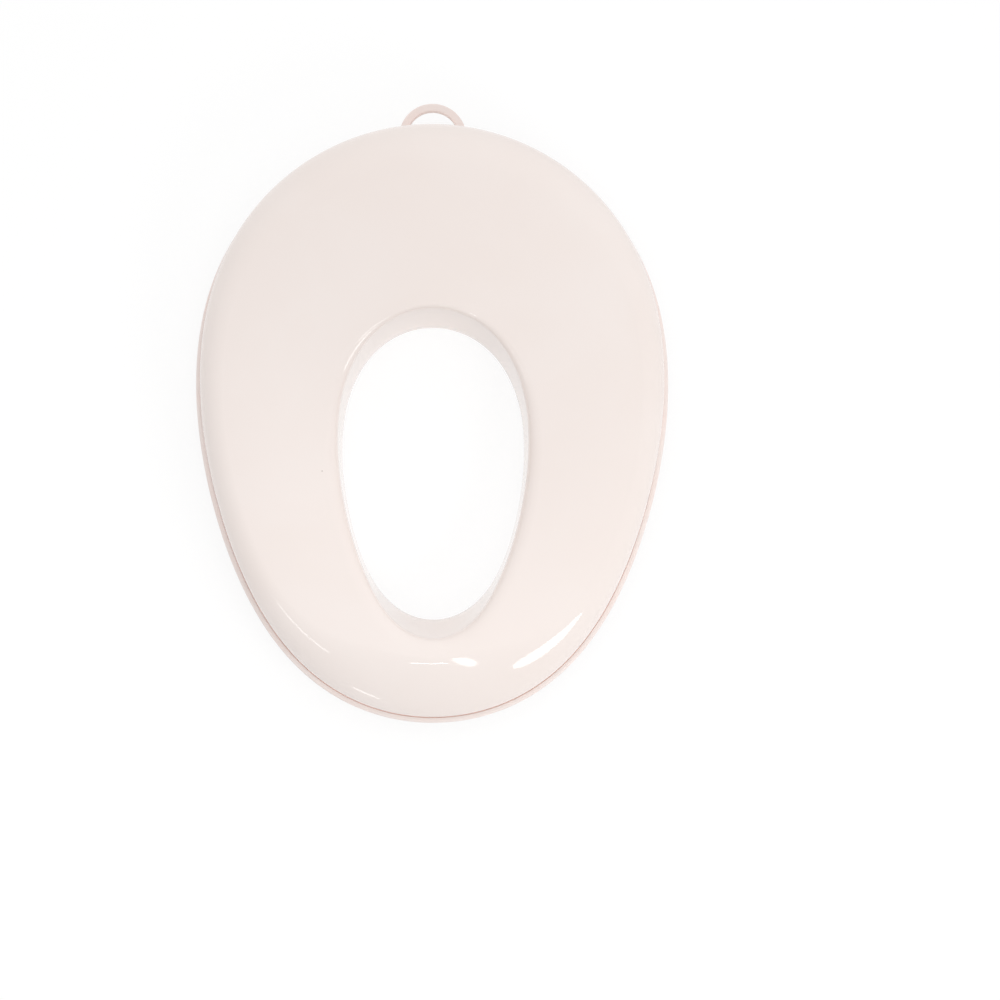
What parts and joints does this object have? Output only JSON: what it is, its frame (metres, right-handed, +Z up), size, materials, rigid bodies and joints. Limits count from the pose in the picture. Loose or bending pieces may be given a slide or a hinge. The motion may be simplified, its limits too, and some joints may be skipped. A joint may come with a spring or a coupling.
{
  "type": "potty training seat",
  "caption": "Potty training seat that lies on an adult toilet seat: a glossy moulded shell with a raised rear and splash guard, and a soft non-slip rim with a hanging loop.",
  "frame": {"origin": "middle of the whole length and width, loop included, at the level of the skirt's flat lower edge", "axes": "+Z up, -Y towards the narrow front, +Y towards the raised rear with the hanging loop, X across; the part is mirror-symmetric in X"},
  "size_m": [0.2946, 0.3892, 0.07],
  "materials": {
    "shell": "high gloss, pale blush white",
    "rim": "satin soft-touch, pale pink"
  },
  "bodies": {
    "root": {"seat_shell": "shell", "grip_rim": "rim"}
  },
  "joints": []
}
